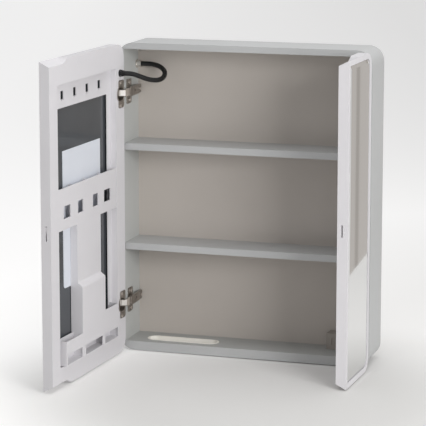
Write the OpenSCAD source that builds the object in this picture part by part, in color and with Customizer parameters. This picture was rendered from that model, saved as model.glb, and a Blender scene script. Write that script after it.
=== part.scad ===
// Lockable wall cabinet for medicines, with two unequal glass-fronted doors shown open.
// The origin is the middle of the body's underside: +X right, +Z up, doors towards -Y,
// wall towards +Y. Everything is in millimetres.
// Each door is drawn shut and then turned open about its hinge line. On a door, u runs from
// the hinge edge along the leaf, and depth d runs from the inner face to the outer face.

/* [Body] */
// Width of the body
body_w = 580; // [540:1:680]
// Height of the body
body_h = 700; // [670:1:800]
// Depth of the body, front plane to wall
body_d = 112; // [108:1:150]
// Radius of the body's outer corners
corner_r = 33; // [20:1:42]
// Sheet thickness of the outer casing
casing_t = 1.5; // [1:0.1:2]
// Sheet thickness of the inner panels
liner_t = 1.2; // [0.8:0.1:1.6]
// Thickness of the double side wall
side_t = 13.2; // [11:0.1:16]
// Height of the top rail
top_t = 14; // [12:0.5:20]
// Height of the bottom strip
bottom_t = 20; // [16:0.5:24]
// Thickness of the back panel
back_t = 1.5; // [1:0.1:2]
// Space between the back panel and the wall
back_gap = 15.5; // [12:0.5:20]
// Width of the return at the back of the casing
return_w = 12; // [8:1:12]

/* [Shelves] */
// Height of the folded edge of a shelf
shelf_t = 15; // [12:0.5:18]
// Sheet thickness of a shelf
shelf_sheet = 1.5; // [1:0.1:2]
// Underside of the lower shelf
shelf_low_z = 232; // [225:1:260]
// Underside of the upper shelf
shelf_high_z = 459; // [430:1:480]
// Side clearance of a shelf
shelf_gap = 0.3; // [0.1:0.1:0.6]
// Radius of a shelf pin
pin_r = 2.5; // [2:0.1:3]

/* [Floor slot] */
// Length of the slot in the floor
slot_l = 160; // [120:1:180]
// Width of the slot in the floor
slot_w = 32; // [20:1:40]
// Centre of the slot, from the middle of the body to the left
slot_x = 153; // [130:1:170]
// Centre of the slot, behind the front plane
slot_y = 42; // [36:1:50]
// Wall of the slot's liner
slot_wall = 1.6; // [1:0.1:2.5]

/* [Wall fixing] */
// Distance between the two columns of fixing holes
fix_w = 400; // [340:5:440]
// Upper fixing holes, down from the top
fix_drop = 20; // [19:1:40]
// Height of the lower fixing holes
fix_low = 223; // [200:1:225]
// Radius of a fixing hole
fix_r = 3.25; // [2.5:0.05:3.5]
// Outer radius of a wall spacer
spacer_r = 7; // [6:0.5:9]

/* [Doors] */
// Width of the left leaf
left_w = 394; // [384:1:404]
// Gap between the two leaves when shut
meet_gap = 3; // [2:0.5:4]
// Gap between the body and a shut leaf
leaf_gap = 2; // [1.8:0.1:3]
// Depth of the moulded door frame
frame_d = 18.4; // [18.4:0.1:22]
// Thickness of the dark panel behind the glass
back_panel_t = 1; // [0.8:0.1:1.5]
// Thickness of the glass
glass_t = 3; // [2:0.5:4]
// Width of the frame's rim round the glass
rim_w = 12; // [10:0.5:16]
// Width of the dark groove round the glass
groove_w = 1; // [0.6:0.1:2]
// Width of the bevel along the glass's edge
bevel_w = 8; // [6:0.5:10]
// Depth of that bevel at the glass's edge
bevel_t = 1.6; // [1:0.1:1.8]
// Trim of a leaf at the top and at the bottom
leaf_trim = 0.5; // [0.3:0.1:1]
// Width of the left leaf's stile on the hinge side
hinge_stile = 46; // [42:1:50]
// Width of the left leaf's stile on the free side
free_stile = 40; // [40:1:46]
// Height of a leaf's bottom rail
low_rail = 44; // [40:1:44]
// Height of a leaf's top rail
high_rail = 53; // [46:1:60]
// How far the left leaf stands open
open_left = 93; // [85:0.5:108]
// How far the right leaf stands open
open_right = 88.5; // [85:0.5:108]

/* [Finger pulls] */
// Height of the bevel at the inner face
pull_h = 11.3; // [8:0.1:13]
// Length of the full bevel from the free edge
pull_l = 66; // [50:1:80]
// Length over which the bevel runs out
pull_run = 34; // [20:1:45]

/* [Hinges] */
// Height of the lower hinges
hinge_low_z = 110; // [100:1:130]
// Height of the upper hinges
hinge_high_z = 588; // [560:1:600]
// Left hinge line, in from the leaf's edge
left_in = 5.4; // [5.2:0.1:6]
// Left hinge line, below the leaf's inner face
left_deep = 10.2; // [9.5:0.1:11.5]
// Right hinge line, in from the leaf's edge
right_in = 7; // [6:0.1:7.2]
// Right hinge line, below the leaf's inner face
right_deep = 14.5; // [13.8:0.1:14.5]
// Radius of a hinge pin
hinge_pin_r = 1.5; // [1.2:0.1:1.7]
// Radius of the eye on a hinge link
eye_r = 2.9; // [2.6:0.1:2.9]
// Running clearance of a hinge pin
pin_fit = 0.05; // [0.03:0.01:0.08]
// Radius of a hinge cup
cup_r = 17.5; // [17:0.1:18]
// Centre of a hinge cup, in from the leaf's edge
cup_u = 21.5; // [21:0.1:22]
// Height of the notch that the link passes through
notch_h = 14; // [13.4:0.1:16]
// Wide part of a link
link_w = 17.6; // [16:0.1:18]
// Thickness of a link
link_t = 2.2; // [1.8:0.1:2.4]
// Middle of the link, off the inner side wall
link_off = 4.8; // [4.6:0.1:5.2]

/* [Organiser] */
// Wall of the moulded organiser
wall = 2; // [1.6:0.1:2.4]
// Depth of the organiser's band below the leaf's inner face
band_d = 1; // [0.5:0.1:2]
// Lower edge of the band
band_z0 = 337; // [330:1:345]
// Upper edge of the band
band_z1 = 426; // [415:1:440]
// How far the lower box stands out of the leaf
box_out = 10; // [6:0.5:11]
// Depth of the perforated plate's front
plate_d = 13; // [12.5:0.1:13.2]
// Thickness of the perforated plate
plate_t = 1.5; // [1:0.1:1.8]
// Width of the plate beside its window
plate_side = 22; // [18:1:26]

/* [Card] */
// Width of the sheet
card_w = 198; // [180:1:210]
// Length of the sheet
card_h = 297; // [280:1:300]
// Thickness of the sheet in its sleeve
card_t = 0.6; // [0.4:0.1:0.8]

/* [Power unit] */
// Length of the power unit
unit_l = 85; // [60:1:90]
// Depth of the power unit
unit_d = 34; // [24:1:40]
// Height of the power unit
unit_h = 36; // [24:1:50]
// Power unit, in from the inner side wall
unit_in = 14; // [4:1:30]

/* [Cable] */
// Diameter of the conduit
cable_dia = 11; // [10:0.5:12]
// Gland on the leaf, in from its hinge edge
gland_u = 23; // [22:0.5:26]
// Height of the gland
gland_z = 635; // [632:1:640]
// Length of the gland out of the leaf
gland_l = 10; // [8:0.5:12]
// Centre of the wall bush, behind the front plane
bush_y = 84; // [78:1:84]
// Height of the wall bush
bush_z = 644; // [638:1:650]
// Length of the wall bush out of the side wall
bush_l = 12.8; // [10:0.1:14]

/* [Lock] */
// Height of the lock
lock_z = 350; // [300:1:380]
// Distance of the lock's shaft from the free edge
lock_in = 20; // [19.5:0.1:21]
// Thickness of the hook
hook_t = 2.4; // [2:0.1:2.8]
// Side clearance of the hook in its slots
hook_gap = 0.3; // [0.2:0.1:0.4]
// Reach of the hook from its shaft
hook_reach = 30; // [29.5:0.5:31]
// Height of the hook's nib over its arm
nib_up = 5; // [4:0.5:6]
// Radius of the key plug
plug_r = 5; // [4:0.1:6]
// Radius of the lock cylinder
barrel_r = 9; // [8:0.1:10]

/* [Hidden] */
$fn = 64;

// Planes of the body
front_y = -body_d / 2;
rear_y = body_d / 2;
in_x = body_w / 2 - side_t;
top_z = body_h - top_t;
back_y = rear_y - back_gap - back_t;

// Leaves
right_w = body_w - left_w - meet_gap;
leaf_t = frame_d + back_panel_t + glass_t;
rec_u0 = hinge_stile;
rec_u1 = left_w - free_stile;
rec_z0 = low_rail;
rec_z1 = body_h - high_rail;
free_r = 2;
left_pivot = [-body_w / 2 + left_in, front_y - leaf_gap - left_deep, 0];
right_pivot = [body_w / 2 - right_in, front_y - leaf_gap - right_deep, 0];
hinge_zs = [hinge_low_z, hinge_high_z];

// Colours
white = [0.84, 0.84, 0.83];
steel = [0.72, 0.72, 0.71];
panel = [0.62, 0.61, 0.59];
dark = [0.24, 0.25, 0.27];
metal = [0.5, 0.48, 0.45];
bright = [0.85, 0.84, 0.82];
black = [0.1, 0.1, 0.1];

// ---- Shared shapes ----

// Flat outline with corner radius ra on the x0 side and rb on the x1 side
module outline(x0, x1, y0, y1, ra, rb) {
    translate([x0 + ra, y0]) square([x1 - x0 - ra - rb, y1 - y0]);
    translate([x0, y0 + ra]) square([ra + 1, y1 - y0 - 2 * ra]);
    translate([x1 - rb - 1, y0 + rb]) square([rb + 1, y1 - y0 - 2 * rb]);
    for (y = [y0 + ra, y1 - ra]) translate([x0 + ra, y]) circle(r = ra);
    for (y = [y0 + rb, y1 - rb]) translate([x1 - rb, y]) circle(r = rb);
}

// A flat shape in X and Z, from y0 to y1
module between(y0, y1) translate([0, y1, 0]) rotate([90, 0, 0]) linear_extrude(y1 - y0) children();

// A flat shape in Y and Z, from x0 to x1
module along_x(x0, x1) translate([x0, 0, 0]) rotate([90, 0, 90]) linear_extrude(x1 - x0) children();

// A flat shape in u and z, from depth d0 to depth d1 of a leaf
module depth(d0, d1) rotate([90, 0, 0]) translate([0, 0, d0]) linear_extrude(d1 - d0) children();

// A block on a leaf
module block(u0, u1, z0, z1, d0, d1) translate([u0, -d1, z0]) cube([u1 - u0, d1 - d0, z1 - z0]);

// A round bar along a leaf's depth
module bar(u, z, d0, d1, r) translate([u, -d0, z]) rotate([90, 0, 0]) cylinder(r = r, h = d1 - d0);

// A round bar along X
module bar_x(x0, x1, y, z, r) translate([x0, y, z]) rotate([0, 90, 0]) cylinder(r = r, h = x1 - x0);

// The two open leaves
module left_leaf() translate(left_pivot) rotate([0, 0, -open_left]) translate(-left_pivot)
    translate([-body_w / 2, front_y - leaf_gap, 0]) children();
module right_leaf() translate(right_pivot) rotate([0, 0, open_right]) translate(-right_pivot)
    translate([body_w / 2, front_y - leaf_gap, 0]) mirror([1, 0, 0]) children();

module right_side() mirror([1, 0, 0]) children();

// ---- Body ----

module casing_wrap() color(steel) difference() {
    between(front_y, rear_y) outline(-body_w / 2, body_w / 2, 0, body_h, corner_r, corner_r);
    between(front_y + casing_t, rear_y - casing_t)
        outline(-body_w / 2 + casing_t, body_w / 2 - casing_t, casing_t, body_h - casing_t,
            corner_r - casing_t, corner_r - casing_t);
    between(front_y - 1, front_y + casing_t + 1)
        translate([-in_x, bottom_t]) square([2 * in_x, top_z - bottom_t]);
    between(rear_y - casing_t - 1, rear_y + 1)
        translate([-body_w / 2 + return_w, return_w])
            square([body_w - 2 * return_w, body_h - 2 * return_w]);
    floor_slot(slot_wall + 0.1, -1, casing_t + 1);
}

// The slot in the floor, widened by w, from z0 to z1
module floor_slot(w, z0, z1) translate([-slot_x, front_y + slot_y, z0]) linear_extrude(z1 - z0) {
    square([slot_l - slot_w, slot_w + 2 * w], center = true);
    for (s = [-1, 1]) translate([s * (slot_l - slot_w) / 2, 0]) circle(r = slot_w / 2 + w);
}

liner_y0 = front_y + casing_t;
module inner_side() difference() {
    translate([-in_x - liner_t, liner_y0, bottom_t - liner_t])
        cube([liner_t, back_y - liner_y0, top_z - bottom_t + 2 * liner_t]);
    for (p = pin_spots) bar_x(-in_x - liner_t - 1, -in_x + 1, p[0], p[1], pin_r + 0.05);
    for (z = hinge_zs, s = [-1, 1])
        bar_x(-in_x - liner_t - 1, -in_x + 1, front_y + wing_y, z + s * wing_z, screw_r + 0.05);
}
module inner_side_left() color(panel) difference() {
    inner_side();
    bar_x(-in_x - liner_t - 1, -in_x + 1, front_y + bush_y, bush_z, bush_stem_r + 0.1);
}
module inner_side_right() color(panel) right_side() inner_side();
module inner_top() color(panel) translate([-in_x, liner_y0, top_z])
    cube([2 * in_x, back_y - liner_y0, liner_t]);
module inner_bottom() color(panel) difference() {
    translate([-in_x, liner_y0, bottom_t - liner_t]) cube([2 * in_x, back_y - liner_y0, liner_t]);
    floor_slot(slot_wall + 0.1, bottom_t - liner_t - 1, bottom_t + 1);
}

// White liner of the floor slot, with a thin flange on the floor
module slot_liner() color(white) difference() {
    union() {
        floor_slot(slot_wall, 0, bottom_t);
        floor_slot(slot_wall + 3, bottom_t, bottom_t + 0.8);
    }
    floor_slot(0, -1, bottom_t + 2);
}

fix_spots = [for (x = [-fix_w / 2, fix_w / 2], z = [fix_low, body_h - fix_drop]) [x, z]];
module back_panel() color(panel) difference() {
    translate([-in_x - liner_t, back_y, bottom_t - liner_t])
        cube([2 * (in_x + liner_t), back_t, top_z - bottom_t + 2 * liner_t]);
    for (p = fix_spots) translate([p[0], back_y + back_t + 1, p[1]]) rotate([90, 0, 0])
        cylinder(r = fix_r, h = back_t + 2);
}
module wall_spacers() color(metal) for (p = fix_spots)
    translate([p[0], rear_y, p[1]]) rotate([90, 0, 0]) difference() {
        cylinder(r = spacer_r, h = back_gap);
        translate([0, 0, -1]) cylinder(r = fix_r, h = back_gap + 2);
    }

// A shelf is a sheet with its four edges folded down
module shelf(z0) difference() {
    translate([-in_x + shelf_gap, front_y, z0])
        cube([2 * (in_x - shelf_gap), back_y - front_y, shelf_t]);
    translate([-in_x + shelf_gap + shelf_sheet, front_y + shelf_sheet, z0 - 1])
        cube([2 * (in_x - shelf_gap - shelf_sheet), back_y - front_y - 2 * shelf_sheet,
            shelf_t - shelf_sheet + 1]);
    for (p = pin_spots, s = [-1, 1]) translate([s * (in_x - 3), 0, 0])
        bar_x(-4, 4, p[0], p[1], pin_r + 0.05);
}
module shelf_lower() color(steel) shelf(shelf_low_z);
module shelf_upper() color(steel) shelf(shelf_high_z);
pin_spots = [for (z = [shelf_low_z, shelf_high_z], y = [front_y + 22, back_y - 18]) [y, z + shelf_t / 2]];
module shelf_pins() color(metal) for (p = pin_spots, s = [0, 1]) mirror([s, 0, 0]) {
    bar_x(-in_x - liner_t - 1.5, -in_x - liner_t, p[0], p[1], pin_r + 1.5);
    bar_x(-in_x - liner_t, -in_x + shelf_gap + shelf_sheet + 3, p[0], p[1], pin_r);
}

// Unit with the electronics, on the floor behind the right door
module power_unit() color(panel) difference() {
    translate([in_x - unit_in - unit_l, back_y - unit_d, bottom_t]) cube([unit_l, unit_d, unit_h]);
    for (i = [0:5]) translate([in_x - unit_in - unit_l + 12 + 10 * i, back_y - unit_d - 1, bottom_t + 10])
        cube([4, 3, unit_h - 20]);
}

// ---- Cable ----

bush_stem_r = 6.5;
module cable_bush() color(bright) {
    bar_x(-in_x - liner_t - 3, -in_x, front_y + bush_y, bush_z, bush_stem_r);
    bar_x(-in_x, -in_x + 2, front_y + bush_y, bush_z, 9.5);
    bar_x(-in_x + 2, -in_x + bush_l - 3, front_y + bush_y, bush_z, 7.6);
    difference() {
        bar_x(-in_x + bush_l - 3, -in_x + bush_l, front_y + bush_y, bush_z, 8.4);
        bar_x(-in_x + bush_l - 1, -in_x + bush_l + 1, front_y + bush_y, bush_z, cable_dia / 2 + 0.3);
    }
}

// Route of the conduit: out of the gland, forwards and down in a bow, and back to the bush
function turn(p, a) = [p[0] * cos(a) - p[1] * sin(a), p[0] * sin(a) + p[1] * cos(a), p[2]];
gland_out = turn([0, 1, 0], -open_left);
gland_tip = left_pivot + turn([gland_u - left_in, left_deep + gland_l, gland_z], -open_left);
bush_tip = [-in_x + bush_l - 1, front_y + bush_y, bush_z];
route = concat([gland_tip + 0.02 * gland_out, gland_tip + cable_dia * gland_out],
    [[-247, -86.8, 634.4], [-239.5, -85.2, 632.6], [-231.5, -82, 629.5], [-223, -77, 625.5],
     [-213, -68.5, 621.2], [-204.5, -57, 618.6], [-198, -42, 618], [-195, -27, 620.8],
     [-196, -12, 626], [-201.5, 2, 632], [-212, 14, 637.6], [-225, 22.5, 641.6], [-240, 27, 643.7]],
    [bush_tip + [cable_dia, 0, 0], bush_tip]);
function unit(v) = v / norm(v);
function tangent(i) = i == 0 ? unit(route[1] - route[0])
    : i == len(route) - 1 ? unit(route[i] - route[i - 1])
    : unit(route[i + 1] - route[i - 1]);
sides = 12;
function ring(i) = let (t = tangent(i), a = unit(cross([0, 0, 1], t)), b = cross(t, a))
    [for (k = [0:sides - 1]) route[i] + cable_dia / 2
        * (cos(360 * k / sides) * a + sin(360 * k / sides) * b)];
module cable_conduit() color(black) {
    n = len(route);
    points = concat([for (i = [0:n - 1]) each ring(i)], [route[0], route[n - 1]]);
    polyhedron(points, concat(
        [for (i = [0:n - 2], k = [0:sides - 1]) let (m = (k + 1) % sides)
            [i * sides + k, (i + 1) * sides + k, (i + 1) * sides + m]],
        [for (i = [0:n - 2], k = [0:sides - 1]) let (m = (k + 1) % sides)
            [i * sides + k, (i + 1) * sides + m, i * sides + m]],
        [for (k = [0:sides - 1]) [n * sides, k, (k + 1) % sides]],
        [for (k = [0:sides - 1]) [n * sides + 1, (n - 1) * sides + (k + 1) % sides,
            (n - 1) * sides + k]]));
}

// ---- Hinges: the half on the body ----

screw_r = 2;
// Fixing screws of the hinge plate, behind the front plane and off the hinge's middle
wing_y = 29;
wing_z = 19.5;
arm_end = 90;
rail_top = link_off + link_t / 2 + 0.3;
module hinge_plate() difference() {
    union() {
        along_x(-in_x, -in_x + 2) {
            translate([front_y, 0]) outline(14, 44, -27.5, 27.5, 5, 5);
            translate([front_y + 36, -8]) square([arm_end - 38, 16]);
        }
        translate([-in_x, front_y + 36, -8]) cube([rail_top, arm_end - 38, 16]);
    }
    for (s = [-1, 1]) bar_x(-in_x - 1, -in_x + 3, front_y + wing_y, s * wing_z, screw_r + 0.05);
    bar_x(-in_x + 1.5, -in_x + rail_top + 1, front_y + arm_end - 9, 0, screw_r + 0.05);
}
// Channel that covers the rail and holds the link
module hinge_arm() difference() {
    translate([-in_x + 2.2, 0, 0]) rotate([90, 0, 90]) linear_extrude(rail_top)
        translate([front_y, 0]) polygon([[18, -11], [60, -11], [arm_end, -9], [arm_end, 9], [60, 11],
            [18, 11]]);
    translate([-in_x, front_y + 17, -link_w / 2 - 0.3]) cube([rail_top, 20, link_w + 0.6]);
    translate([-in_x, front_y + 35, -8.2]) cube([rail_top, arm_end - 36.5, 16.4]);
    bar_x(-in_x, -in_x + 12, front_y + arm_end - 9, 0, screw_r + 0.05);
    bar_x(-in_x + rail_top + 1, -in_x + 12, front_y + 50, 0, 3);
}
// Link from the arm round the front of the wall to the hinge pin, as a flat strip with an eye
module link_half(in, deep) {
    lx = side_t + link_off - in;
    ly = deep + leaf_gap - 5;
    translate([-body_w / 2 + in, front_y - leaf_gap - deep, 0]) {
        linear_extrude(notch_h - 0.8, center = true) difference() {
            union() {
                circle(r = eye_r);
                polygon([[0, link_t / 2], [lx - link_t / 2, ly], [lx - link_t / 2, ly + 3],
                    [lx + link_t / 2, ly + 3], [lx + link_t / 2, ly - 1.6], [1, -link_t / 2]]);
            }
            circle(r = hinge_pin_r + pin_fit);
        }
        translate([lx - link_t / 2, ly + 1, -link_w / 2]) cube([link_t, 37, link_w]);
    }
}
module hinge_links(in, deep) for (z = hinge_zs) translate([0, 0, z]) link_half(in, deep);
module left_hinge_plates() color(metal) for (z = hinge_zs) translate([0, 0, z]) hinge_plate();
module left_hinge_arms() color(metal) for (z = hinge_zs) translate([0, 0, z]) hinge_arm();
module left_hinge_links() color(bright) hinge_links(left_in, left_deep);
module right_hinge_plates() color(metal) right_side() for (z = hinge_zs) translate([0, 0, z])
    hinge_plate();
module right_hinge_arms() color(metal) right_side() for (z = hinge_zs) translate([0, 0, z])
    hinge_arm();
module right_hinge_links() color(bright) right_side() hinge_links(right_in, right_deep);
module hinge_plate_screws() color(bright) for (m = [0, 1], z = hinge_zs) mirror([m, 0, 0]) {
    for (s = [-1, 1]) {
        bar_x(-in_x - liner_t - 3, -in_x + 2, front_y + wing_y, z + s * wing_z, screw_r);
        bar_x(-in_x + 2, -in_x + 3.6, front_y + wing_y, z + s * wing_z, 4);
    }
    bar_x(-in_x + 2.2, -in_x + 2.2 + rail_top, front_y + arm_end - 9, z, screw_r);
    bar_x(-in_x + 2.2 + rail_top, -in_x + 4 + rail_top, front_y + arm_end - 9, z, 3.6);
}

// ---- Hinges: the half on a leaf ----

pot_wall = 1.2;
pot_floor = 0.6;
flange_t = 1.2;
flange_u = 3;
function pot_depth(deep) = deep + eye_r + 0.4;
module cup_body(deep, extra) {
    bar(cup_u, 0, 0, pot_depth(deep) + pot_floor, cup_r + extra);
    block(1 - extra, 14, -11.5 - extra, 11.5 + extra, 0, pot_depth(deep) + pot_floor);
}
module cup_room(deep) {
    bar(cup_u, 0, -3, pot_depth(deep), cup_r - pot_wall);
    block(-1, cup_u, -notch_h / 2, notch_h / 2, -3, pot_depth(deep));
}
module hinge_cup(in, deep) difference() {
    union() {
        cup_body(deep, 0);
        depth(-flange_t, 0) {
            outline(flange_u, 32, -31, 31, 5, 5);
            translate([cup_u, 0]) circle(r = cup_r + 1.2);
        }
    }
    cup_room(deep);
    translate([in, -deep, -11]) cylinder(r = hinge_pin_r + pin_fit, h = 22);
    for (s = [-1, 1]) bar(24, s * 25.5, -2, 1, screw_r + 0.05);
}
module cup_pockets(deep) for (z = hinge_zs) translate([0, 0, z]) {
    translate([0, 1, 0]) bar(cup_u, 0, 0, pot_depth(deep) + pot_floor + 1, cup_r + 0.1);
    block(0.9, 14, -11.6, 11.6, -1, pot_depth(deep) + pot_floor);
    block(-1, 14, -notch_h / 2, notch_h / 2, -1, pot_depth(deep));
    for (s = [-1, 1]) bar(24, s * 25.5, -1, 12.3, screw_r + 0.05);
}
module cups(in, deep) for (z = hinge_zs) translate([0, 0, z]) hinge_cup(in, deep);
module cup_screws() for (z = hinge_zs, s = [-1, 1]) {
    bar(24, z + s * 25.5, -flange_t, 12, screw_r);
    bar(24, z + s * 25.5, -flange_t - 1.4, -flange_t, 3.6);
}
module leaf_pins(in, deep) for (z = hinge_zs)
    translate([in, -deep, z - 10.7]) cylinder(r = hinge_pin_r, h = 21.4);
module left_hinge_cups() color(metal) left_leaf() cups(left_in, left_deep);
module right_hinge_cups() color(metal) right_leaf() cups(right_in, right_deep);
module left_cup_screws() color(bright) left_leaf() cup_screws();
module right_cup_screws() color(bright) right_leaf() cup_screws();
module left_hinge_pins() color(bright) left_leaf() leaf_pins(left_in, left_deep);
module right_hinge_pins() color(bright) right_leaf() leaf_pins(right_in, right_deep);

// ---- Leaves ----

// Outline of a leaf of width w, drawn in by s all round
module leaf_face(w, s) outline(s, w - s, leaf_trim + s, body_h - leaf_trim - s,
    max(corner_r - s, 1), max(free_r - s, 1));

// Height of the finger pull's bevel at distance t from the free edge
function pull(t) = t <= pull_l ? pull_h
    : pull_h * (1 + cos(180 * min(1, (t - pull_l) / pull_run))) / 2;
pull_steps = 9;
pull_ts = concat([-1], [for (i = [0:pull_steps]) pull_l + pull_run * i / pull_steps]);
// Wedge cut from the lower edge of a leaf of width w, widest at the inner face
module pull_cut(w) {
    n = len(pull_ts);
    points = [for (t = pull_ts) each [[w - t, 1, -1], [w - t, -leaf_t - 1, -1],
        [w - t, -leaf_t - 1, -0.6], [w - t, 1, max(0, pull(t)) * (1 + 1 / leaf_t) - 0.01]]];
    polyhedron(points, concat(
        [[0, 1, 2, 3], [4 * n - 1, 4 * n - 2, 4 * n - 3, 4 * n - 4]],
        [for (i = [0:n - 2], k = [0:3]) [4 * i + k, 4 * i + 4 + k, 4 * i + 4 + (k + 1) % 4]],
        [for (i = [0:n - 2], k = [0:3]) [4 * i + k, 4 * i + 4 + (k + 1) % 4, 4 * i + (k + 1) % 4]]));
}
module pull_cuts(w) {
    translate([0, 0, leaf_trim]) pull_cut(w);
    translate([0, 0, body_h - leaf_trim]) mirror([0, 0, 1]) pull_cut(w);
}

// A pane whose four edges are bevelled on the outer face
module glass_pane(w) {
    depth(frame_d + back_panel_t, leaf_t - bevel_t) leaf_face(w, rim_w + groove_w);
    hull() {
        depth(leaf_t - bevel_t - 0.02, leaf_t - bevel_t) leaf_face(w, rim_w + groove_w);
        depth(leaf_t - 0.02, leaf_t) leaf_face(w, rim_w + groove_w + bevel_w);
    }
}

module left_door_frame() color(white) left_leaf() difference() {
    depth(0, leaf_t) leaf_face(left_w, 0);
    depth(-1, frame_d + 1) outline(rec_u0, rec_u1, rec_z0, rec_z1, 3, 3);
    depth(frame_d, leaf_t + 1) leaf_face(left_w, rim_w);
    pull_cuts(left_w);
    cup_pockets(left_deep);
    bar(gland_u, gland_z, -1, 8, gland_stem_r + 0.1);
    lock_room();
}
module left_dark_panel() color(dark) left_leaf() difference() {
    depth(frame_d, frame_d + back_panel_t) leaf_face(left_w, rim_w + 0.2);
    bar(left_w - lock_in, lock_z, frame_d - 1, leaf_t, barrel_r + 0.2);
}
module left_door_glass() color([0.2, 0.22, 0.24, 0.6]) left_leaf() difference() {
    glass_pane(left_w);
    bar(left_w - lock_in, lock_z, frame_d, leaf_t + 1, barrel_r + 0.2);
}

// Plate in the recess, with a large window and a row of slots that things hang from
win_u0 = rec_u0 + plate_side;
win_u1 = rec_u1 - plate_side;
win_z0 = rec_z0 + 56;
win_z1 = rec_z1 - 54;
hang_n = 4;
hang_pitch = 64.5;
hang_w = 14;
hang_h = 18;
hang_z = rec_z1 - 36;
hang_us = [for (i = [0:hang_n - 1]) (rec_u0 + rec_u1) / 2 + 6 + (i - (hang_n - 1) / 2) * hang_pitch];
module hook_plate() color(white) left_leaf() {
    difference() {
        depth(plate_d, plate_d + plate_t) outline(rec_u0 + 0.2, rec_u1 - 0.2, rec_z0 + 0.2,
            rec_z1 - 0.2, 3, 3);
        depth(plate_d - 1, plate_d + plate_t + 1) {
            outline(win_u0, win_u1, win_z0, win_z1, 3, 3);
            for (u = hang_us) translate([u - hang_w / 2, hang_z]) square([hang_w, hang_h]);
        }
    }
    for (u = hang_us) block(u - hang_w / 2, u + hang_w / 2, hang_z - 2, hang_z, plate_d - 4, plate_d);
}

// Moulded organiser: a band with four holes, a tongue below it, and an open box at the bottom
org_u0 = rec_u0 + 0.3;
org_u1 = rec_u1 - 0.3;
org_mid = (rec_u0 + rec_u1) / 2 - 2.5;
tongue_w = 123;
t_u0 = org_mid - tongue_w / 2;
t_u1 = org_mid + tongue_w / 2;
box_u0 = rec_u0 + 16;
box_u1 = rec_u1 - 12;
box_z0 = rec_z0 + 2;
box_low = box_z0 + 53;
box_high = box_z0 + 77.5;
step_z0 = box_z0 + 153;
step_h = 12;
card_z0 = box_z0 + 156;
step_n = 8;
function step_d(i) = band_d - (band_d + box_out) * (1 + cos(180 * i / step_n)) / 2;
module tongue_profile() polygon(concat(
    [[box_out, box_z0]],
    [for (i = [0:step_n]) [-step_d(i), step_z0 + step_h * i / step_n]],
    [[-band_d, band_z0 + 1], [-band_d - wall, band_z0 + 1]],
    [for (i = [step_n:-1:0]) [-step_d(i) - wall, step_z0 - 0.4 + step_h * i / step_n]],
    [[box_out - wall, box_z0]]));
// Side wall of the tongue, under its step and back to the sheet
side_deep = frame_d - 0.2 - card_t - 0.4;
module tongue_side(u) translate([u, 0, 0]) rotate([90, 0, 90]) linear_extrude(wall) polygon(concat(
    [[box_out - wall / 2, box_z0 + wall / 2]],
    [for (i = [0:step_n]) [-step_d(i) - wall / 2, step_z0 + step_h * i / step_n]],
    [[-band_d - wall / 2, band_z0 + wall / 2], [-side_deep, band_z0 + wall / 2],
     [-side_deep, win_z0 + 0.3], [-plate_d, win_z0 + 0.3], [-plate_d, box_z0 + wall / 2]]));
module organiser() color(white) left_leaf() {
    difference() {
        union() {
            // band and its two sides
            block(org_u0, org_u1, band_z0, band_z1, band_d, band_d + wall);
            for (u = [org_u0, org_u1 - wall]) block(u, u + wall, band_z0, band_z1, band_d, plate_d);
            // floor of the pockets, and the walls between them
            block(org_u0, org_u1, band_z0, band_z0 + wall, band_d, plate_d - 0.5);
            for (i = [1:3]) block(org_u0 + i * (org_u1 - org_u0) / 4 - wall / 2,
                org_u0 + i * (org_u1 - org_u0) / 4 + wall / 2, band_z0, band_z1, band_d, plate_d - 0.5);
            // tongue and the middle of the box
            translate([t_u0, 0, 0]) rotate([90, 0, 90]) linear_extrude(tongue_w) tongue_profile();
            for (u = [t_u0, t_u1 - wall]) tongue_side(u);
            // two outer parts of the box
            block(box_u0, t_u0 + 1, box_z0, box_high, -box_out, -box_out + wall);
            block(t_u1 - 1, box_u1, box_z0, box_low, -box_out, -box_out + wall);
            block(box_u0, box_u0 + wall, box_z0, box_high, -box_out, plate_d);
            block(box_u1 - wall, box_u1, box_z0, box_low, -box_out, plate_d);
            block(box_u0, box_u1, box_z0, box_z0 + wall, -box_out, plate_d);
            // rest under the sheet
            block(t_u0, t_u1, card_z0 - wall - 0.2, card_z0 - 0.2, band_d, plate_d + plate_t + 3.2);
        }
        for (h = band_holes) block(h[0], h[1], band_z0 + 23, band_z0 + 50, band_d - 1, band_d + wall + 1);
        for (h = box_holes) block(h[0], h[1], box_z0 + wall, box_z0 + 24, -box_out - 1, -box_out + wall + 1);
    }
}
band_holes = [for (h = [[33, 68], [100, 128.5], [179.5, 207], [246, 280]]) [rec_u0 + h[0], rec_u0 + h[1]]];
box_holes = [[box_u0 + 4.7, t_u0 + 2.4], [t_u0 + 16, t_u1 - 16], [t_u1 + 2.5, box_u1 - 4.5]];

// Sheet in its sleeve, between the plate and the dark panel
module document_card() color([0.84, 0.86, 0.9]) left_leaf() {
    u0 = org_mid - card_w / 2 - 2.5;
    d1 = frame_d - 0.2;
    difference() {
        block(u0, u0 + card_w, card_z0, card_z0 + card_h, d1 - card_t, d1);
        difference() {
            block(u0 + card_w - 8, u0 + card_w + 1, card_z0 - 1, card_z0 + 8, d1 - card_t - 1, d1 + 1);
            bar(u0 + card_w - 8, card_z0 + 8, d1 - card_t - 2, d1 + 2, 8);
        }
    }
}

gland_stem_r = 5.6;
module cable_gland() color(black) left_leaf() {
    bar(gland_u, gland_z, -0.5, 7.5, gland_stem_r);
    bar(gland_u, gland_z, -2, 0, 8);
    translate([gland_u, 1.5, gland_z]) rotate([-90, 30, 0]) cylinder(r = 7.6, h = 5, $fn = 6);
    bar(gland_u, gland_z, -gland_l, -6, 6.6);
}

// ---- Lock: a hook on a key plug in the left leaf, caught behind a plate in the right one ----

hook_d0 = 9.4;
hook_d1 = hook_d0 + hook_t;
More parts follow.
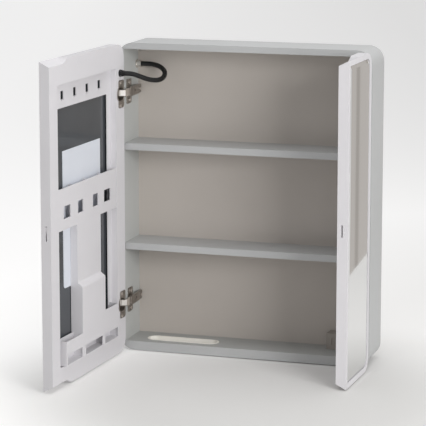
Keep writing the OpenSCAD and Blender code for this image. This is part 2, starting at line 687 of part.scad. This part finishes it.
// Half height of the arm on the nib's side
notch_b = 4;
lip_in = lock_in - 1.2;
hook_sweep = norm([hook_reach, notch_b + nib_up]) + 0.4;
// Hook at rest, around its shaft: the arm points down and the round side closes the slot
module hook_shape() difference() {
    union() {
        circle(r = 7);
        intersection() {
            circle(r = lock_in - 0.6);
            translate([-5, -lock_in]) square([lock_in + 5, lock_in + notch_b]);
        }
        translate([-5, -hook_reach]) square([5 + notch_b, hook_reach]);
        translate([-5, -hook_reach]) square([5 + notch_b + nib_up, hook_reach - lock_in - meet_gap - 2.5]);
    }
    circle(r = hook_bore_r);
}
hook_bore_r = 3.05;
module lock_room() {
    u = left_w - lock_in;
    // slot for the hook
    depth(hook_d0 - hook_gap, hook_d1 + hook_gap) translate([u, lock_z]) {
        translate([-9, -hook_sweep]) square([lip_in + 9, hook_sweep + lock_in + 0.6]);
        // mouth in the free edge, as high as the hook's way through it
        translate([lip_in - 1, -sqrt(pow(hook_sweep, 2) - pow(lip_in, 2))])
            square([lock_in - lip_in + 2, sqrt(pow(hook_sweep, 2) - pow(lip_in, 2))
                + sqrt(pow(lock_in - 0.2, 2) - pow(lip_in, 2))]);
    }
    // shaft and barrel
    bar(u, lock_z, hook_d0 - 3.2, hook_d1, 3.05);
    bar(u, lock_z, hook_d1, leaf_t + 1, barrel_r + 0.1);
}
module lock_cylinder() color(bright) left_leaf() difference() {
    union() {
        bar(left_w - lock_in, lock_z, hook_d1 + hook_gap, leaf_t, barrel_r);
        bar(left_w - lock_in, lock_z, leaf_t, leaf_t + 1.2, barrel_r + 2);
    }
    bar(left_w - lock_in, lock_z, hook_d0, leaf_t + 3, plug_r + pin_fit);
}
module key_plug() color(metal) left_leaf() difference() {
    union() {
        bar(left_w - lock_in, lock_z, hook_d0 - 3, hook_d1, 3);
        bar(left_w - lock_in, lock_z, hook_d1, leaf_t + 1.6, plug_r);
    }
    block(left_w - lock_in - 0.6, left_w - lock_in + 0.6, lock_z - 3, lock_z + 3, leaf_t - 4, leaf_t + 3);
}
module lock_hook() color(bright) left_leaf()
    depth(hook_d0, hook_d1) translate([left_w - lock_in, lock_z]) hook_shape();

// ---- Right leaf ----

r_stile = 46;
right_lock_u = right_w + lock_in + meet_gap - hook_sweep - 1;
right_slot_low = lock_z - sqrt(pow(hook_sweep, 2) - pow(lock_in + meet_gap, 2));
right_slot_high = lock_z + notch_b + nib_up + 0.9;
module right_door_frame() color(white) right_leaf() difference() {
    depth(0, leaf_t) leaf_face(right_w, 0);
    depth(2.9, frame_d + 1) outline(r_stile, right_w - r_stile, rec_z0, rec_z1, 3, 3);
    depth(-1, 3) outline(r_stile - 4, right_w - r_stile + 4, rec_z0 - 4, rec_z1 + 4, 3, 3);
    depth(frame_d, leaf_t + 1) leaf_face(right_w, rim_w);
    pull_cuts(right_w);
    cup_pockets(right_deep);
    // room for the hook
    block(right_lock_u, right_w + 1, right_slot_low, right_slot_high, hook_d0 - 0.4, hook_d1 + 0.4);
}
module right_inner_panel() color(white) right_leaf() depth(1, 3)
    outline(r_stile - 3.8, right_w - r_stile + 3.8, rec_z0 - 3.8, rec_z1 + 3.8, 3, 3);
module right_dark_panel() color(dark) right_leaf()
    depth(frame_d, frame_d + back_panel_t) leaf_face(right_w, rim_w + 0.2);
module right_door_glass() color([0.5, 0.5, 0.5, 0.6]) right_leaf() glass_pane(right_w);
module strike_plate() color(white) right_leaf()
    block(right_w - 2, right_w - 0.2, lock_z + notch_b + 0.6, right_slot_high, hook_d0 - 0.4, hook_d1 + 0.4);

casing_wrap();
inner_side_left();
inner_side_right();
inner_top();
inner_bottom();
slot_liner();
back_panel();
wall_spacers();
shelf_lower();
shelf_upper();
shelf_pins();
cable_bush();
cable_conduit();
left_hinge_plates();
left_hinge_arms();
left_hinge_links();
right_hinge_plates();
right_hinge_arms();
right_hinge_links();
hinge_plate_screws();
power_unit();
left_door_frame();
left_door_glass();
left_dark_panel();
hook_plate();
organiser();
document_card();
left_hinge_cups();
left_cup_screws();
left_hinge_pins();
cable_gland();
lock_cylinder();
key_plug();
lock_hook();
right_door_frame();
right_door_glass();
right_dark_panel();
right_inner_panel();
right_hinge_cups();
right_cup_screws();
right_hinge_pins();
strike_plate();
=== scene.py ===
# %% [markdown]
# # A lockable medicine cabinet
#
# The cabinet's solids come ready from a CAD program, in metres, with +Z up, the doors towards -Y
# and the wall towards +Y. Here they get their surfaces. One piece is made anew, because a plain
# solid can't bend: the soft conduit between the body and the wide door.

# %% Load the solids
import math

import bpy
import numpy as np
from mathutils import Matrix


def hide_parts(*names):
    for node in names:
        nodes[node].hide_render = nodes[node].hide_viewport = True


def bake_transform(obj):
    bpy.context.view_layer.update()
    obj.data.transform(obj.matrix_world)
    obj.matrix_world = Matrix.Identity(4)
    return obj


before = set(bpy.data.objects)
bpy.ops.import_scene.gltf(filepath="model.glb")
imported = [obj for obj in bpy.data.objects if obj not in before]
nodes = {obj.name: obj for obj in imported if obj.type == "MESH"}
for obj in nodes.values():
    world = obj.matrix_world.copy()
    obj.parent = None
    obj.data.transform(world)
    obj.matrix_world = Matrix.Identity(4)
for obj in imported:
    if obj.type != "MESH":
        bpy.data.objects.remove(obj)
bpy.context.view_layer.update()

# %% [markdown]
# ## The camera
#
# The picture was taken from the right of the cabinet and from above it, with a long lens. The
# place and the lens were found by fitting the corners of the body and of both doors to their
# places in the picture. Only the vertical shift is a compromise. The picture's upright lines are
# parallel, which needs a large shift, but views from other sides keep the same shift. So it is
# small here, and some corners are a few pixels off.

# %% Camera
lens_pixels = 2124.6
picture_width = 426
sensor_width, vertical_shift = 36, -0.10
camera_yaw, camera_pitch = math.radians(17.56), math.radians(9.57)
camera_place = (1.33064, -4.47809, 1.20433)

lens = bpy.data.cameras.new("camera")
lens.sensor_width = sensor_width
lens.lens = lens_pixels * sensor_width / picture_width
lens.shift_y = vertical_shift
camera = bpy.data.objects.new("camera", lens)
camera.location = camera_place
camera.rotation_euler = (math.pi / 2 - camera_pitch, 0, camera_yaw)
bpy.context.scene.collection.objects.link(camera)
bpy.context.scene.camera = camera
print("focal length %.1f mm" % lens.lens)

# %% [markdown]
# ## How the new pieces are made
#
# Each new piece is a grid of points worked out with numpy. A small function turns the grid into
# a mesh. A second one finds a smooth line through a few points, and a third one carries a round
# section along that line.

# %% Meshes from grids
def mesh_piece(name, points, faces, smooth=True):
    """A mesh object from an array of points and a list or array of faces."""
    mesh = bpy.data.meshes.new(name)
    mesh.from_pydata(np.asarray(points, float).tolist(), [], [list(map(int, f)) for f in faces])
    mesh.update()
    piece = bpy.data.objects.new(name, mesh)
    bpy.context.scene.collection.objects.link(piece)
    mesh.polygons.foreach_set("use_smooth", [smooth] * len(mesh.polygons))
    return piece


def grid_faces(rows, columns):
    """Quads of a grid of points, numbered row by row, where each row closes on itself."""
    i, j = np.meshgrid(np.arange(rows - 1), np.arange(columns), indexing="ij")
    i2, j2 = i + 1, (j + 1) % columns
    corners = [i * columns + j, i * columns + j2, i2 * columns + j2, i2 * columns + j]
    return np.stack(corners, -1).reshape(-1, 4)


def smooth_line(knots, count):
    """A line through the knots, evenly spaced by length: a Catmull-Rom curve, which passes each
    knot in the direction from the knot before it to the knot after it."""
    k = np.asarray(knots, float)
    k = np.vstack([2 * k[0] - k[1], k, 2 * k[-1] - k[-2]])
    t = np.linspace(0, 1, 40, endpoint=False)[:, None]
    a, b, c, d = k[:-3, None], k[1:-2, None], k[2:-1, None], k[3:, None]
    fine = 0.5 * (2 * b + (c - a) * t + (2 * a - 5 * b + 4 * c - d) * t**2
        + (3 * b - a - 3 * c + d) * t**3)
    fine = np.vstack([fine.reshape(-1, 3), k[-2]])
    run = np.concatenate([[0], np.cumsum(np.linalg.norm(np.diff(fine, axis=0), axis=1))])
    even = np.linspace(0, run[-1], count)
    return np.stack([np.interp(even, run, fine[:, i]) for i in range(3)], 1), run[-1]


# %% A round section carried along a line
def tube_grid(line, radii, sides):
    """Rings of points round a line. Each ring stands square to the line, turned so that one
    side of it keeps facing up."""
    along = np.gradient(line, axis=0)
    along /= np.linalg.norm(along, axis=1)[:, None]
    across = np.cross([0, 0, 1.0], along)
    across /= np.linalg.norm(across, axis=1)[:, None]
    upwards = np.cross(along, across)
    turn = np.linspace(0, 2 * np.pi, sides, endpoint=False)
    cosine, sine = np.cos(turn)[None, :, None], np.sin(turn)[None, :, None]
    ring = cosine * across[:, None] + sine * upwards[:, None]
    return line[:, None] + np.asarray(radii)[:, None, None] * ring


def capped(rows, sides):
    """Quads of the tube's side and one flat face at each end."""
    quads = [list(q) for q in grid_faces(rows, sides)]
    return quads + [list(range(sides))[::-1], list(range((rows - 1) * sides, rows * sides))]


# %% [markdown]
# ## The conduit
#
# A black flexible conduit carries wires from the body into the wide door. It leaves its gland
# square to the door, sinks forwards under its own weight, and turns back to a metal bush on the
# side wall. The route's points are the ones that the solid follows.
#
# Two things are wrong with it. Near the gland it bends more tightly than a real conduit of this
# width. And it doesn't keep its length when the wide door moves: with that door closed it kinks and
# goes through the side wall.

# %% The conduit's line
def turned(x, y, degrees):
    """A point turned about the origin, seen from above."""
    a = math.radians(degrees)
    return x * math.cos(a) - y * math.sin(a), x * math.sin(a) + y * math.cos(a)


door_open = 93.0
hinge_line = np.array([-0.2846, -0.0682, 0])
out_x, out_y = turned(0, 1, -door_open)
tip_x, tip_y = turned(0.0176, 0.0202, -door_open)
gland_tip = hinge_line + [tip_x, tip_y, 0.635]
bush_tip = np.array([-0.265, 0.028, 0.644])
conduit_width = 0.011
route = np.array([
    gland_tip, gland_tip + conduit_width * np.array([out_x, out_y, 0]),
    (-0.2470, -0.0868, 0.6344), (-0.2395, -0.0852, 0.6326), (-0.2315, -0.0820, 0.6295),
    (-0.2230, -0.0770, 0.6255), (-0.2130, -0.0685, 0.6212), (-0.2045, -0.0570, 0.6186),
    (-0.1980, -0.0420, 0.6180), (-0.1950, -0.0270, 0.6208), (-0.1960, -0.0120, 0.6260),
    (-0.2015, 0.0020, 0.6320), (-0.2120, 0.0140, 0.6376), (-0.2250, 0.0225, 0.6416),
    (-0.2400, 0.0270, 0.6437), bush_tip + [conduit_width, 0, 0], bush_tip])
line_points = 260

# %% The conduit's tube
rings, ring_sides, ripples, ripple_depth = 4 * line_points, 20, 110, 0.00012
ripple = ripple_depth * np.sin(np.linspace(0, 2 * np.pi * ripples, rings))
fine_line, _ = smooth_line(route, rings)
tube = tube_grid(fine_line, conduit_width / 2 - ripple_depth + ripple, ring_sides)
conduit = mesh_piece("conduit", tube.reshape(-1, 3), capped(rings, ring_sides))
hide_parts("cable_conduit")
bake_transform(conduit)
print("conduit faces:", len(conduit.data.polygons))

# %% [markdown]
# ## Finishes
#
# Every finish is a Principled shader. Its colour, roughness and bump come from noise measured in
# metres on the object, so the grain has its real size. One function builds the shader and two
# more add what most finishes share: a slow drift of the colour, and a fine bump.

# %% Shader helpers
def linear(*srgb):
    """A colour as seen on a screen, 0 to 255, as the linear value that a shader takes."""
    c = np.array(srgb, float) / 255
    return tuple(np.where(c <= 0.04045, c / 12.92, ((c + 0.055) / 1.055) ** 2.4)) + (1.0,)


def finish(name, **sockets):
    """A new material with a Principled shader, its sockets set, and its nodes."""
    material = bpy.data.materials.new(name)
    material.use_nodes = True
    shader = material.node_tree.nodes["Principled BSDF"]
    for socket, value in sockets.items():
        shader.inputs[socket.replace("_", " ").title().replace("Ior", "IOR")].default_value = value
    return material, material.node_tree, shader


def noise(tree, scale, detail=2.0, stretch=(1, 1, 1)):
    """Noise with the given number of waves per metre, stretched along an axis."""
    place = tree.nodes.new("ShaderNodeTexCoord")
    sized = tree.nodes.new("ShaderNodeMapping")
    sized.inputs["Scale"].default_value = stretch
    tree.links.new(place.outputs["Object"], sized.inputs["Vector"])
    texture = tree.nodes.new("ShaderNodeTexNoise")
    texture.inputs["Scale"].default_value = scale
    texture.inputs["Detail"].default_value = detail
    tree.links.new(sized.outputs["Vector"], texture.inputs["Vector"])
    return texture


def drift(tree, shader, first, second, scale=6, stretch=(1, 1, 1)):
    """The base colour wanders slowly between two colours."""
    ramp = tree.nodes.new("ShaderNodeValToRGB")
    low, high = ramp.color_ramp.elements
    low.color, high.color, low.position, high.position = first, second, 0.3, 0.7
    tree.links.new(noise(tree, scale, 3, stretch).outputs[0], ramp.inputs[0])
    tree.links.new(ramp.outputs[0], shader.inputs["Base Color"])


def bumps(tree, shader, scale, height, strength=0.3, stretch=(1, 1, 1), detail=2.0):
    """A fine bump: height is in metres."""
    bump = tree.nodes.new("ShaderNodeBump")
    bump.inputs["Distance"].default_value = height
    bump.inputs["Strength"].default_value = strength
    tree.links.new(noise(tree, scale, detail, stretch).outputs[0], bump.inputs["Height"])
    tree.links.new(bump.outputs[0], shader.inputs["Normal"])


def rough(tree, shader, low, high, scale=40, stretch=(1, 1, 1)):
    """The roughness wanders between two values."""
    spread = tree.nodes.new("ShaderNodeMapRange")
    spread.inputs["To Min"].default_value, spread.inputs["To Max"].default_value = low, high
    tree.links.new(noise(tree, scale, 2, stretch).outputs[0], spread.inputs["Value"])
    tree.links.new(spread.outputs[0], shader.inputs["Roughness"])


# %% [markdown]
# ## Paint, plastic and metal
#
# The body is sheet steel with a satin powder coat, which has a very fine orange peel. Inside, the
# same coat is made lighter on the walls and top, which is painted light, and darker on the bottom,
# which is painted shade. The body's back panel is a warmer grey. The doors are moulded in a matt
# white plastic, and the liner of the long opening is cream. The hinges are pressed steel, darker
# and brushed, and their links, pins and screws are bright. The conduit is satin black.

# %% Powder coat
paint, tree, shader = finish("powder_coat", roughness=0.4, specular_ior_level=0.5)
drift(tree, shader, linear(180, 181, 181), linear(185, 186, 186), 5)
bumps(tree, shader, 900, 0.00012, 0.25)
rough(tree, shader, 0.34, 0.46)

# the inner walls and top: the body's coat made lighter, which is painted light
lit_inner_paint, tree, shader = finish("inner_coat_painted_light", roughness=0.5, specular_ior_level=0.35)
drift(tree, shader, linear(185, 187, 185), linear(190, 191, 189), 4)
bumps(tree, shader, 900, 0.00012, 0.25)
rough(tree, shader, 0.44, 0.56)

# the bottom inside: the body's coat made darker, which is painted shade
shaded_bottom_paint, tree, shader = finish("bottom_coat_painted_shade", roughness=0.5, specular_ior_level=0.3)
drift(tree, shader, linear(170, 171, 169), linear(175, 176, 174), 4)
bumps(tree, shader, 900, 0.00012, 0.25)

greige, tree, shader = finish("greige_back_panel", roughness=0.6, specular_ior_level=0.25)
drift(tree, shader, linear(193, 186, 179), linear(198, 191, 184), 4)
bumps(tree, shader, 700, 0.00015, 0.3)
rough(tree, shader, 0.54, 0.66)

print("paints:", [m.name for m in (paint, lit_inner_paint, shaded_bottom_paint, greige)])

# %% Moulded plastic
moulding, tree, shader = finish("white_moulding", roughness=0.48, specular_ior_level=0.4)
drift(tree, shader, linear(215, 213, 216), linear(220, 218, 221), 5)
bumps(tree, shader, 1800, 0.00006, 0.3)
rough(tree, shader, 0.42, 0.54, 60)

cream, tree, shader = finish("cream_liner", roughness=0.5, specular_ior_level=0.4)
drift(tree, shader, linear(243, 240, 232), linear(247, 244, 237), 30)
bumps(tree, shader, 1800, 0.00005, 0.3)

unit_grey, tree, shader = finish("unit_housing", roughness=0.55, specular_ior_level=0.35)
drift(tree, shader, linear(156, 149, 142), linear(161, 154, 147), 12)
bumps(tree, shader, 1600, 0.00006, 0.3)

dark_back, tree, shader = finish("anthracite_back", roughness=0.12, specular_ior_level=0.5)
drift(tree, shader, linear(66, 69, 73), linear(74, 77, 81), 3)
bumps(tree, shader, 1400, 0.00003, 0.2)

black, tree, shader = finish("black_conduit", roughness=0.32, specular_ior_level=0.45)
drift(tree, shader, linear(12, 12, 13), linear(20, 20, 21), 60)
bumps(tree, shader, 1500, 0.00005, 0.3)

print("plastics:", [m.name for m in (moulding, cream, unit_grey, dark_back, black)])

# %% Metal
pressed, tree, shader = finish("pressed_steel", metallic=1.0, roughness=0.34)
drift(tree, shader, linear(150, 144, 138), linear(176, 170, 164), 60, (1, 1, 0.1))
bumps(tree, shader, 2500, 0.00002, 0.25, (1, 1, 0.06))
rough(tree, shader, 0.26, 0.42, 200, (1, 1, 0.1))

bright, tree, shader = finish("bright_metal", metallic=1.0, roughness=0.16)
drift(tree, shader, linear(232, 226, 220), linear(242, 238, 234), 60)
rough(tree, shader, 0.1, 0.22, 300)

print("metals:", [m.name for m in (pressed, bright)])

# %% Glass and paper
mirror, tree, shader = finish("mirror_glass", metallic=1.0, roughness=0.03)
drift(tree, shader, linear(222, 222, 221), linear(226, 226, 225), 3)

paper, tree, shader = finish("sheet_in_sleeve", roughness=0.32, specular_ior_level=0.5)
drift(tree, shader, linear(220, 224, 232), linear(225, 229, 237), 8)
bumps(tree, shader, 60, 0.0004, 0.15)

print("panes and sheet:", [m.name for m in (mirror, paper)])

# %% [markdown]
# ## Dressing
#
# Each solid gets one of these finishes. A list of names for each finish is easier to check against
# the real cabinet than a choice made solid by solid.

# %% Dress the solids
dressed = {
    paint: ["casing_wrap", "shelf_lower", "shelf_upper"],
    lit_inner_paint: ["inner_side_left", "inner_side_right", "inner_top"],
    shaded_bottom_paint: ["inner_bottom"],
    greige: ["back_panel"],
    unit_grey: ["power_unit"],
    cream: ["slot_liner"],
    moulding: ["left_door_frame", "right_door_frame", "hook_plate", "organiser",
        "right_inner_panel", "lock_hook", "strike_plate"],
    dark_back: ["left_dark_panel", "right_dark_panel"],
    black: ["cable_gland"],
    pressed: ["wall_spacers", "shelf_pins", "left_hinge_plates", "left_hinge_arms",
        "right_hinge_plates", "right_hinge_arms", "left_hinge_cups", "right_hinge_cups",
        "key_plug"],
    bright: ["cable_bush", "left_hinge_links", "right_hinge_links", "hinge_plate_screws",
        "left_cup_screws", "right_cup_screws", "left_hinge_pins", "right_hinge_pins",
        "lock_cylinder"],
    mirror: ["left_door_glass", "right_door_glass"],
    paper: ["document_card"],
}


def dress(piece, material):
    """One material on the whole piece."""
    piece.data.materials.clear()
    piece.data.materials.append(material)


for material, names in dressed.items():
    for name in names:
        dress(nodes[name], material)
dress(conduit, black)
print("dressed:", sum(len(n) for n in dressed.values()), "of", len(nodes) - 1)

# %% [markdown]
# ## Floor and light
#
# The cabinet stands on white paper that is bright all round it and shaded between its doors. The
# paper is one large plane with a diffuse colour, which takes the cabinet's shadow. Away from the
# cabinet it also glows, but only for the camera and for reflections, as the Light Path node
# tells, so the background turns white without any more light on the cabinet. The glow also paints
# light and shade. It fades out towards a spot in front between the doors, which is painted shade
# on top of the real shadow there. It is weaker behind the cabinet at the right, which is painted
# shade. It is stronger at the left, which is painted light from that side.

# %% Helpers for the floor and the world
def wire(tree, kind, *inputs, **settings):
    """A new node with its settings, and its first inputs fed from sockets or plain values."""
    node = tree.nodes.new(kind)
    for name, value in settings.items():
        setattr(node, name, value)
    for i, value in enumerate(inputs):
        if isinstance(value, bpy.types.NodeSocket):
            tree.links.new(value, node.inputs[i])
        elif value is not None:
            node.inputs[i].default_value = value
    return node.outputs[0]


def apart(tree, place, point):
    """The distance of each place on a surface from one point."""
    between = wire(tree, "ShaderNodeVectorMath", place, point, operation="DISTANCE").node
    return between.outputs["Value"]


def background_rays(tree):
    """1 where the camera, a reflection or something seen through glass asks, and 0 for light."""
    path = tree.nodes.new("ShaderNodeLightPath").outputs
    seen = wire(tree, "ShaderNodeMath", path["Is Camera Ray"], path["Is Glossy Ray"],
        operation="MAXIMUM")
    return wire(tree, "ShaderNodeMath", seen, path["Is Transmission Ray"], operation="MAXIMUM")


# %% The floor
floor_reach, floor_drop = 80, 0.002
# the glow fades out towards this spot in front, between the doors: painted shade on top of the real
# shadow there
shaded_middle, shade_ends, glow_full = (0.15, -0.38, 0), 0.25, 0.75
# the glow is weaker near this corner behind the cabinet at the right: painted shade
dim_corner, dim_near, dim_far, dim_share = (0.6, 0.5, 0), 0.4, 1.4, 0.6
corners = [(-1, -1), (1, -1), (1, 1), (-1, 1)]
floor = mesh_piece("floor", [(x * floor_reach, y * floor_reach, 0) for x, y in corners],
    [(0, 1, 2, 3)], False)
floor.location.z = -floor_drop
ground, tree, shader = finish("floor_paper", base_color=linear(226, 225, 223), roughness=0.9,
    specular_ior_level=0.1)
seen = background_rays(tree)
place = tree.nodes.new("ShaderNodeTexCoord").outputs["Object"]
glow = wire(tree, "ShaderNodeMapRange", apart(tree, place, shaded_middle), shade_ends, glow_full,
    0.0, 1.0, interpolation_type="SMOOTHSTEP")
dimmed = wire(tree, "ShaderNodeMapRange", apart(tree, place, dim_corner), dim_near, dim_far,
    dim_share, 1.0)
glow = wire(tree, "ShaderNodeMath", glow, dimmed, operation="MULTIPLY")

# %% The paper's glow is stronger at the left: painted light from that side
slant, slope_half_width, left_level, right_level = 3.2, 3.4, 0.57, 0.43
split = tree.nodes.new("ShaderNodeSeparateXYZ")
tree.links.new(place, split.inputs[0])
side = wire(tree, "ShaderNodeMath", split.outputs["X"], slant, operation="MULTIPLY")
side = wire(tree, "ShaderNodeMath", side, split.outputs["Y"], operation="ADD")
level = wire(tree, "ShaderNodeMapRange", side, -slope_half_width, slope_half_width, left_level,
    right_level)
glow = wire(tree, "ShaderNodeMath", glow, level, operation="MULTIPLY")
glow = wire(tree, "ShaderNodeMath", glow, seen, operation="MULTIPLY")
tree.links.new(glow, shader.inputs["Emission Strength"])
shader.inputs["Emission Color"].default_value = linear(254, 254, 255)
dress(floor, ground)
print("floor: %d m across, %.0f mm under the cabinet" % (2 * floor_reach, 1000 * floor_drop))

# %% [markdown]
# ## What the panes reflect
#
# The narrow door's pane shows the bright paper low down and something greyer above it. That
# greyer part is a painted reflection. A grey card behind the cabinet at the right glows its grey,
# and only reflections see it. One short face of it glows darker, a painted dark band in the pane.

# %% The grey card
card_base = np.array([(0.577, 0.60), (0.619, 0.918), (0.626, 0.972), (0.72, 1.69)])
card_top = 0.9
card_points = np.vstack([np.column_stack([card_base, np.full(4, z)]) for z in (0, card_top)])
card = mesh_piece("grey_card", card_points, [(i, i + 1, i + 5, i + 4) for i in range(3)], False)
card.visible_camera = card.visible_shadow = card.visible_diffuse = False
# the card's greys are glow, not lit colour: a painted reflection, and the strip's darker grey is a
# painted dark band
greys = {"grey_card": linear(197, 192, 188), "grey_card_strip": linear(172, 167, 162)}
for name, colour in greys.items():
    grey, tree, shader = finish(name, base_color=(0, 0, 0, 1), roughness=1.0,
        specular_ior_level=0.0, emission_color=colour, emission_strength=1.0)
    card.data.materials.append(grey)
card.data.polygons[1].material_index = 1
print("grey card: %.1f m high" % card_top)

# %% [markdown]
# ## Lamps
#
# A large key lamp stands in front at the right and two weaker ones hang above, one in front of the
# cabinet and one behind it. The first two and the world began from a fit to how bright each surface
# is in the picture. The one behind was added after that fit, and so were the last changes to all of
# them.

# %% Lamps
def lamp(name, place, aim, size, power):
    """A square lamp at a place, facing a point. Reflections don't show it, as if a wide white
    cloth hung in front of it, so satin paint doesn't glare at a low angle."""
    light = bpy.data.lights.new(name, "AREA")
    light.shape, light.size, light.energy = "SQUARE", size, power
    holder = bpy.data.objects.new(name, light)
    way = np.array(aim, float) - np.array(place, float)
    tilt, turn = math.acos(-way[2] / np.linalg.norm(way)), math.atan2(way[1], way[0])
    holder.location = place
    holder.rotation_euler = (tilt, 0, turn - math.pi / 2)
    holder.visible_glossy = False
    bpy.context.scene.collection.objects.link(holder)


lamp("key", (2.5, -2.3, 1.2), (0, -0.1, 0.35), 1.5, 66)
lamp("top", (0.3, -0.8, 2.6), (0, -0.1, 0.2), 1.6, 14)
lamp("behind", (0.25, 0.35, 2.7), (0, -0.1, 0.3), 1.6, 13)

# %% World
world_light, world_seen = 0.36, 0.86
world = bpy.data.worlds.new("studio")
bpy.context.scene.world = world
world.use_nodes = True
tree = world.node_tree
strength = wire(tree, "ShaderNodeMapRange", background_rays(tree), 0.0, 1.0, world_light,
    world_seen)
tree.nodes["Background"].inputs["Color"].default_value = (1, 1, 1, 1)
tree.links.new(strength, tree.nodes["Background"].inputs["Strength"])
bpy.context.scene.view_settings.view_transform = "Standard"
print("world: %.2f as light, %.2f as seen" % (world_light, world_seen))
